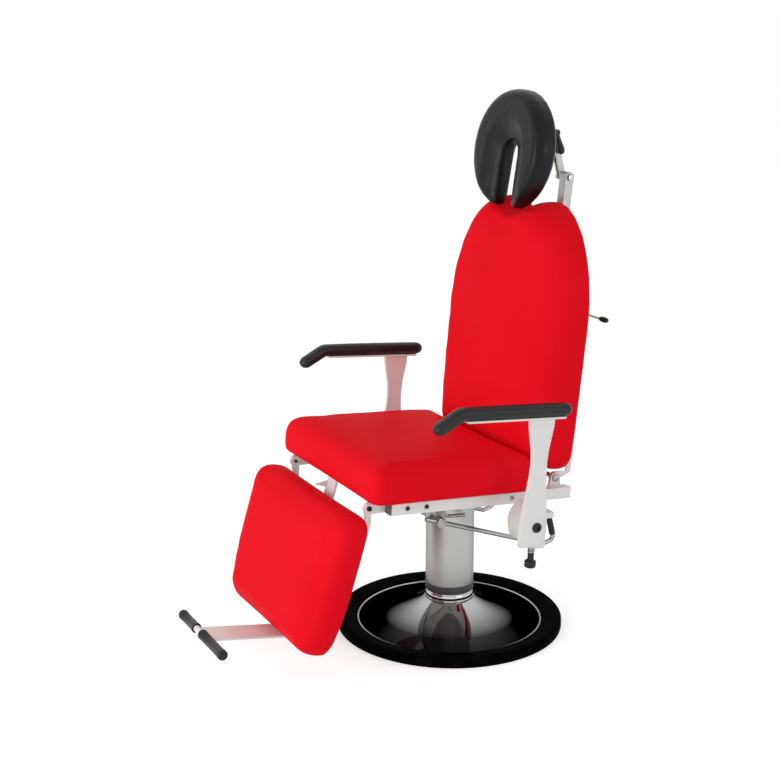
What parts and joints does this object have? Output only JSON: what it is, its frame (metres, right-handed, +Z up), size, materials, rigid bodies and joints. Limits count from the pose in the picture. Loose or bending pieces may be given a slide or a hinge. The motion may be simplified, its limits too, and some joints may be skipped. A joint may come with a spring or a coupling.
{
  "type": "ear, nose and throat examination chair",
  "caption": "Pedestal examination chair with a round base, lifting column, red padded seat, backrest and legrest, fold-back arms, a sliding footrest and a black horseshoe headrest.",
  "frame": {"origin": "on the column axis, on the underside of the base", "axes": "+Z up, the chair faces -Y, +X is the sitter's left"},
  "size_m": [0.7798, 1.1154, 1.3965],
  "materials": {
    "white_paint": "satin",
    "red_leatherette": "satin",
    "black_dish": "gloss",
    "black_rubber": "satin",
    "black_leatherette": "satin",
    "dark_plastic": "satin",
    "chrome": "polished",
    "satin_metal": "satin",
    "plain_steel": "satin",
    "birch_ply": "matte"
  },
  "bodies": {
    "base": {"base_plate": "plain_steel", "base_dish": "black_dish", "base_trim_ring": "black_rubber", "base_collar": "chrome", "guide_tube": "satin_metal", "guide_bush": "dark_plastic", "gas_lift_cylinder": "dark_plastic"},
    "column": {"column_tube": "satin_metal", "column_foot_ring": "dark_plastic", "column_cap": "chrome", "gas_lift_rod": "chrome"},
    "seat": {"swivel_hub": "white_paint", "rail_left": "white_paint", "rail_right": "white_paint", "cross_tube_front": "white_paint", "cross_tube_rear": "white_paint", "rail_end_cap_left": "dark_plastic", "rail_end_cap_right": "dark_plastic", "backrest_hinge_shaft": "plain_steel", "legrest_hinge_bolt_left": "black_rubber", "legrest_hinge_bolt_right": "black_rubber", "seat_board": "birch_ply", "seat_cushion": "red_leatherette", "armrest_bracket_left": "white_paint", "armrest_bracket_right": "white_paint", "armrest_pivot_screw_left": "black_rubber", "armrest_pivot_screw_right": "black_rubber"},
    "left_armrest": {"armrest_post_left": "white_paint", "armrest_pad_left": "black_rubber"},
    "right_armrest": {"armrest_post_right": "white_paint", "armrest_pad_right": "black_rubber"},
    "left_plunger": {"plunger_left": "black_rubber"},
    "right_plunger": {"plunger_right": "black_rubber"},
    "backrest": {"backrest_cushion": "red_leatherette", "backrest_board": "birch_ply", "back_plate_left": "white_paint", "back_plate_right": "white_paint", "headrest_guide": "white_paint"},
    "height_clamp": {"clamp_lever": "black_rubber"},
    "head_post": {"headrest_post": "satin_metal"},
    "head_yoke": {"headrest_yoke": "satin_metal", "headrest_pivot_pin": "chrome"},
    "headrest": {"headrest_cushion": "black_leatherette", "headrest_plate": "satin_metal"},
    "head_handle": {"headrest_clamp_handle": "black_rubber"},
    "legrest": {"legrest_cushion": "red_leatherette", "legrest_board": "birch_ply", "legrest_spine": "white_paint", "legrest_arm_left": "white_paint", "legrest_arm_right": "white_paint", "footrest_guide": "white_paint"},
    "footrest": {"footrest_stem": "white_paint", "footrest_sleeve_left": "black_rubber", "footrest_sleeve_right": "black_rubber"},
    "release_lever": {"lever_shaft": "chrome", "release_rod_left": "chrome", "release_rod_right": "chrome", "lever_grip_left": "black_rubber", "lever_grip_right": "black_rubber"},
    "swivel_lock": {"swivel_lock_lever": "chrome"}
  },
  "joints": [
    {"name": "column_lift", "type": "slide", "parent": "base", "child": "column", "axis": [0, 0, 1], "range_m": [0, 0.16]},
    {"name": "seat_swivel", "type": "hinge", "parent": "column", "child": "seat", "pos_m": [0, 0, 0.39], "axis": [0, 0, 1], "continuous": true},
    {"name": "backrest_recline", "type": "hinge", "parent": "seat", "child": "backrest", "pos_m": [0, 0.17982, 0.44], "axis": [-1, 0, 0], "range_deg": [0, 65]},
    {"name": "legrest_raise", "type": "hinge", "parent": "seat", "child": "legrest", "pos_m": [0, -0.35022, 0.44183], "axis": [-1, 0, 0], "range_deg": [0, 73]},
    {"name": "footrest_slide", "type": "slide", "parent": "legrest", "child": "footrest", "axis": [0, -0.2924, -0.9563], "range_m": [0, 0.045]},
    {"name": "left_armrest_fold", "type": "hinge", "parent": "seat", "child": "left_armrest", "pos_m": [0.372, 0.02291, 0.38167], "axis": [-1, 0, 0], "range_deg": [0, 95]},
    {"name": "right_armrest_fold", "type": "hinge", "parent": "seat", "child": "right_armrest", "pos_m": [-0.372, 0.02291, 0.38167], "axis": [-1, 0, 0], "range_deg": [0, 95]},
    {"name": "left_plunger_pull", "type": "slide", "parent": "seat", "child": "left_plunger", "axis": [0, -0.0663, -0.9978], "range_m": [0, 0.008], "stiffness_N_per_m": 1500},
    {"name": "right_plunger_pull", "type": "slide", "parent": "seat", "child": "right_plunger", "axis": [0, -0.0663, -0.9978], "range_m": [0, 0.008], "stiffness_N_per_m": 1500},
    {"name": "height_clamp_turn", "type": "hinge", "parent": "backrest", "child": "height_clamp", "pos_m": [0, 0.31882, 0.83262], "axis": [0, 0.9945, -0.1045], "range_deg": [0, 60]},
    {"name": "head_post_slide", "type": "slide", "parent": "backrest", "child": "head_post", "axis": [0, 0.1045, 0.9945], "range_m": [0, 0.12]},
    {"name": "head_yoke_tilt", "type": "hinge", "parent": "head_post", "child": "head_yoke", "pos_m": [0, 0.33844, 1.17142], "axis": [-1, 0, 0], "range_deg": [0, 40]},
    {"name": "headrest_tilt", "type": "hinge", "parent": "head_yoke", "child": "headrest", "pos_m": [0, 0.30664, 1.28609], "axis": [-1, 0, 0], "range_deg": [0, 35]},
    {"name": "head_handle_turn", "type": "hinge", "parent": "head_yoke", "child": "head_handle", "pos_m": [0, 0.30664, 1.28609], "axis": [1, 0, 0], "range_deg": [-15, 75]},
    {"name": "release_lever_lift", "type": "hinge", "parent": "seat", "child": "release_lever", "pos_m": [0, -0.11599, 0.347], "axis": [1, 0, 0], "range_deg": [0, 8], "stiffness_Nm_per_rad": 6},
    {"name": "swivel_lock_turn", "type": "hinge", "parent": "seat", "child": "swivel_lock", "pos_m": [0.088, -0.068, 0.40114], "axis": [0, 0, 1], "range_deg": [-30, 15]}
  ]
}
